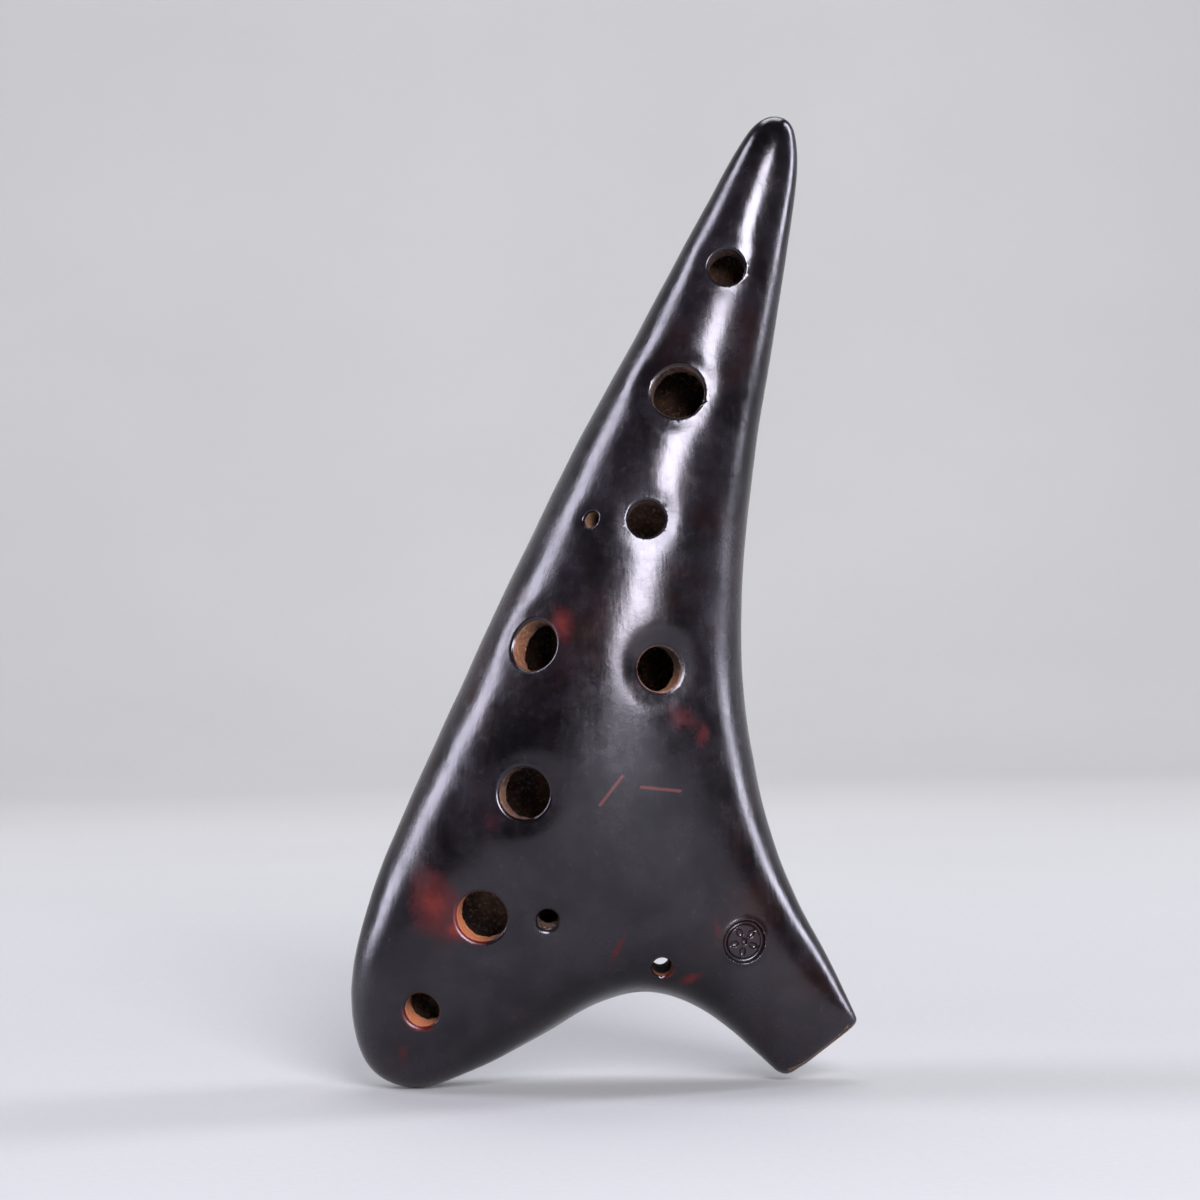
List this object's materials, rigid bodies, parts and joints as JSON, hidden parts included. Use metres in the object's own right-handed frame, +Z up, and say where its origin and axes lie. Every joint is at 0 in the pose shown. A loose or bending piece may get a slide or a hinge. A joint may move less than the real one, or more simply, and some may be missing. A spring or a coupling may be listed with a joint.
{
  "type": "ocarina",
  "caption": "Transverse clay ocarina with a long pointed tail, a side mouthpiece, round finger holes on the front and thumb holes and a whistle window on the back.",
  "frame": {"origin": "on the floor under the middle of the bounding box, as the ocarina stands on its head and on the lower corner of its mouthpiece", "axes": "+Z up, close to the long axis, from the head to the tail tip, which leans towards +X; -Y is the front with the finger holes; +X is the side that the mouthpiece points to"},
  "size_m": [0.0876, 0.044, 0.1663],
  "materials": {
    "burnished_clay": "burnished smoke-fired clay, near black with purple-grey sheen and red-brown patches, satin gloss",
    "ramp_clay": "knife-cut smoke-fired clay, dark brown, satin",
    "raw_clay": "unburnished gritty brown clay, matt"
  },
  "bodies": {
    "root": {"front_shell": "burnished_clay", "back_shell": "burnished_clay", "windway_roof": "burnished_clay", "labium": "ramp_clay", "windway_floor": "raw_clay"}
  },
  "joints": []
}
